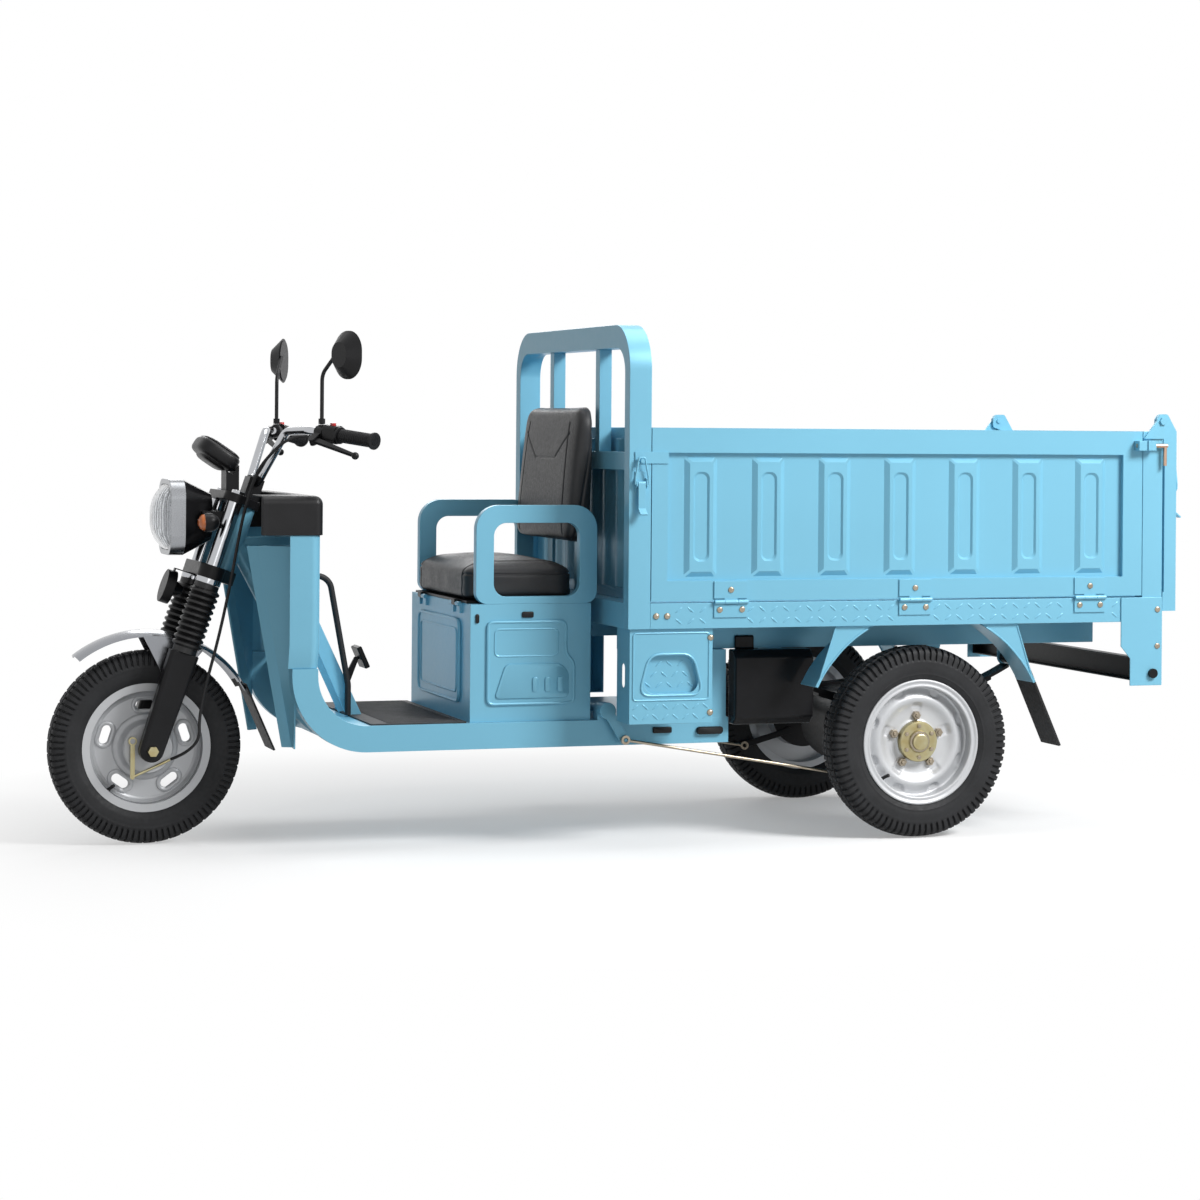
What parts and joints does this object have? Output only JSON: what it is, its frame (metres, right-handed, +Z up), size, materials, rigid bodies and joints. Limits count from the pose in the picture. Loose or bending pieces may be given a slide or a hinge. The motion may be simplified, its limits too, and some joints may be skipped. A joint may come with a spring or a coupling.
{
  "type": "cargo tricycle",
  "caption": "Light-blue electric cargo tricycle with a single fork-mounted front wheel, open cab with black seat, drop-side load bed and head guard hoop.",
  "frame": {"origin": "Centre of the plan box, on the ground under the tyres.", "axes": "+X points to the rear (the tricycle drives towards -X), +Y to the rider's right, +Z up."},
  "size_m": [3.0099, 1.066, 1.3499],
  "materials": {
    "blue_paint": "satin",
    "black_paint": "satin",
    "silver_paint": "satin",
    "chrome": "polished",
    "steel": "brushed",
    "zinc_gold": "satin",
    "tyre": "matte",
    "rubber": "matte",
    "leather": "satin",
    "black_plastic": "matte",
    "clear_lens": "gloss",
    "amber_lens": "gloss",
    "red_plastic": "gloss"
  },
  "bodies": {
    "chassis": {"floor_frame": "blue_paint", "floor_mat": "rubber", "head_tube_frame": "blue_paint", "leg_shield": "blue_paint", "shield_cap": "black_plastic", "wiring_loom": "rubber", "seat_box": "blue_paint", "seat_frame": "blue_paint", "backrest": "leather", "head_guard": "blue_paint", "deck_frame": "blue_paint", "bed_floor": "blue_paint", "rear_posts": "blue_paint", "rear_lamp_bar": "black_paint", "step_boxes": "blue_paint", "arch_brackets": "blue_paint", "mud_flaps": "rubber", "controller_box": "black_plastic"},
    "steering": {"fork_yokes": "black_paint", "fork_tubes": "chrome", "handlebar": "chrome", "headlight_housing": "black_plastic", "headlight_lens": "clear_lens", "turn_signals": "amber_lens", "instrument_cluster": "black_plastic", "hand_controls": "black_plastic", "front_brake_cable": "rubber"},
    "fork_slider": {"fork_legs": "black_paint", "fork_boots": "rubber", "front_fender": "chrome", "front_axle": "steel"},
    "front_wheel": {"front_tyre": "tyre", "front_rim": "silver_paint"},
    "front_cam": {"front_brake_cam": "zinc_gold"},
    "lever_left": {"brake_lever_left": "black_paint"},
    "lever_right": {"brake_lever_right": "black_paint"},
    "throttle": {"throttle_grip": "rubber"},
    "mirror_l": {"mirror_left": "black_plastic"},
    "mirror_r": {"mirror_right": "black_plastic"},
    "button_horn": {"horn_button": "red_plastic"},
    "button_start": {"start_button": "red_plastic"},
    "pedal": {"brake_pedal": "black_paint"},
    "crank": {"brake_crank": "blue_paint"},
    "rods": {"brake_rods": "zinc_gold"},
    "side_left": {"side_panel_left": "blue_paint"},
    "side_right": {"side_panel_right": "blue_paint"},
    "tail": {"tailgate": "blue_paint"},
    "latch_side_left": {"side_latch_left": "blue_paint"},
    "latch_side_right": {"side_latch_right": "blue_paint"},
    "latch_tail_left": {"tail_latch_left": "blue_paint"},
    "latch_tail_right": {"tail_latch_right": "blue_paint"},
    "pin_left": {"side_pin_left": "zinc_gold"},
    "pin_right": {"side_pin_right": "zinc_gold"},
    "axle": {"rear_axle": "black_paint", "leaf_springs": "black_paint"},
    "wheel_left": {"rear_tyre_left": "tyre", "rear_rim_left": "silver_paint"},
    "wheel_right": {"rear_tyre_right": "tyre", "rear_rim_right": "silver_paint"},
    "seat": {"seat_cushion": "leather"}
  },
  "joints": [
    {"name": "steer", "type": "hinge", "parent": "chassis", "child": "steering", "pos_m": [-1.02926, 0, 0.76709], "axis": [0.3173, 0, 0.9483], "range_deg": [-35, 35]},
    {"name": "fork_slide", "type": "slide", "parent": "steering", "child": "fork_slider", "axis": [0.3173, 0, 0.9483], "range_m": [0, 0.06], "stiffness_N_per_m": 12000, "springref_m": -0.1, "deforming": ["fork_boots", "front_brake_cable"]},
    {"name": "front_spin", "type": "hinge", "parent": "fork_slider", "child": "front_wheel", "pos_m": [-1.255, 0, 0.25], "axis": [0, 1, 0], "continuous": true},
    {"name": "front_cam_turn", "type": "hinge", "parent": "fork_slider", "child": "front_cam", "pos_m": [-1.297, -0.066, 0.271], "axis": [0, -1, 0], "range_deg": [0, 12], "deforming": ["front_brake_cable"]},
    {"name": "lever_left_pull", "type": "hinge", "parent": "steering", "child": "lever_left", "pos_m": [-0.8819, -0.28792, 1.04483], "axis": [-0.4137, -0.4032, 0.8163], "range_deg": [0, 10], "stiffness_Nm_per_rad": 1.5, "springref_deg": -20.05},
    {"name": "lever_right_pull", "type": "hinge", "parent": "steering", "child": "lever_right", "pos_m": [-0.8819, 0.28792, 1.04483], "axis": [0.4137, -0.4032, -0.8163], "range_deg": [0, 10], "stiffness_Nm_per_rad": 1.5, "springref_deg": -20.05},
    {"name": "throttle_turn", "type": "hinge", "parent": "steering", "child": "throttle", "pos_m": [-0.75273, 0.42, 1.04505], "axis": [-0.5682, -0.8149, 0.1145], "range_deg": [0, 70], "stiffness_Nm_per_rad": 0.3, "springref_deg": -17.19},
    {"name": "mirror_r_turn", "type": "hinge", "parent": "steering", "child": "mirror_r", "pos_m": [-0.85558, 0.27251, 1.08628], "axis": [0, 0, 1], "range_deg": [-25, 25]},
    {"name": "mirror_l_turn", "type": "hinge", "parent": "steering", "child": "mirror_l", "pos_m": [-0.85558, -0.27251, 1.08628], "axis": [0, 0, 1], "range_deg": [-25, 25]},
    {"name": "horn_press", "type": "slide", "parent": "steering", "child": "button_horn", "axis": [0, 0.1392, -0.9903], "range_m": [0, 0.003], "stiffness_N_per_m": 600, "springref_m": -0.003},
    {"name": "start_press", "type": "slide", "parent": "steering", "child": "button_start", "axis": [0, -0.1392, -0.9903], "range_m": [0, 0.003], "stiffness_N_per_m": 600, "springref_m": -0.003},
    {"name": "pedal_press", "type": "hinge", "parent": "chassis", "child": "pedal", "pos_m": [-0.711, 0.096, 0.372], "axis": [0, -1, 0], "range_deg": [0, 18], "stiffness_Nm_per_rad": 12, "springref_deg": -20.05},
    {"name": "crank_turn", "type": "hinge", "parent": "chassis", "child": "crank", "pos_m": [-0.103, 0, 0.346], "axis": [0, 1, 0], "range_deg": [0, 8]},
    {"name": "rods_pull", "type": "slide", "parent": "chassis", "child": "rods", "axis": [-0.8895, 0, -0.4569], "range_m": [0, 0.01239]},
    {"name": "axle_bump", "type": "slide", "parent": "chassis", "child": "axle", "axis": [0, 0, 1], "range_m": [0, 0.05], "stiffness_N_per_m": 40000, "springref_m": -0.06, "deforming": ["leaf_springs"]},
    {"name": "right_spin", "type": "hinge", "parent": "axle", "child": "wheel_right", "pos_m": [0.735, 0.415, 0.255], "axis": [0, 1, 0], "continuous": true},
    {"name": "side_right_drop", "type": "hinge", "parent": "chassis", "child": "side_right", "pos_m": [0, 0.506, 0.637], "axis": [-1, 0, 0], "range_deg": [0, 170]},
    {"name": "latch_side_right_lift", "type": "hinge", "parent": "chassis", "child": "latch_side_right", "pos_m": [-0.076, 0.5095, 0.942], "axis": [1, 0, 0], "range_deg": [0, 100]},
    {"name": "latch_tail_right_lift", "type": "hinge", "parent": "tail", "child": "latch_tail_right", "pos_m": [1.4815, 0.458, 0.93], "axis": [0, -1, 0], "range_deg": [0, 100]},
    {"name": "pin_right_slide", "type": "slide", "parent": "chassis", "child": "pin_right", "axis": [1, 0, 0], "range_m": [0, 0.03]},
    {"name": "left_spin", "type": "hinge", "parent": "axle", "child": "wheel_left", "pos_m": [0.735, -0.415, 0.255], "axis": [0, 1, 0], "continuous": true},
    {"name": "side_left_drop", "type": "hinge", "parent": "chassis", "child": "side_left", "pos_m": [0, -0.506, 0.637], "axis": [1, 0, 0], "range_deg": [0, 170]},
    {"name": "latch_side_left_lift", "type": "hinge", "parent": "chassis", "child": "latch_side_left", "pos_m": [-0.076, -0.5095, 0.942], "axis": [-1, 0, 0], "range_deg": [0, 100]},
    {"name": "latch_tail_left_lift", "type": "hinge", "parent": "tail", "child": "latch_tail_left", "pos_m": [1.4815, -0.458, 0.93], "axis": [0, -1, 0], "range_deg": [0, 100]},
    {"name": "pin_left_slide", "type": "slide", "parent": "chassis", "child": "pin_left", "axis": [1, 0, 0], "range_m": [0, 0.03]},
    {"name": "tail_lift", "type": "hinge", "parent": "chassis", "child": "tail", "pos_m": [1.425, 0, 1.113], "axis": [0, -1, 0], "range_deg": [0, 80]},
    {"name": "seat_lift", "type": "hinge", "parent": "chassis", "child": "seat", "pos_m": [-0.472, 0, 0.622], "axis": [0, -1, 0], "range_deg": [0, 75]}
  ],
  "couplings": [
    {"joint": "front_cam_turn", "follows": "lever_left_pull", "ratio": 1.2},
    {"joint": "crank_turn", "follows": "pedal_press", "ratio": 0.44444},
    {"joint": "rods_pull", "follows": "pedal_press", "m_per_rad": 0.039451}
  ]
}
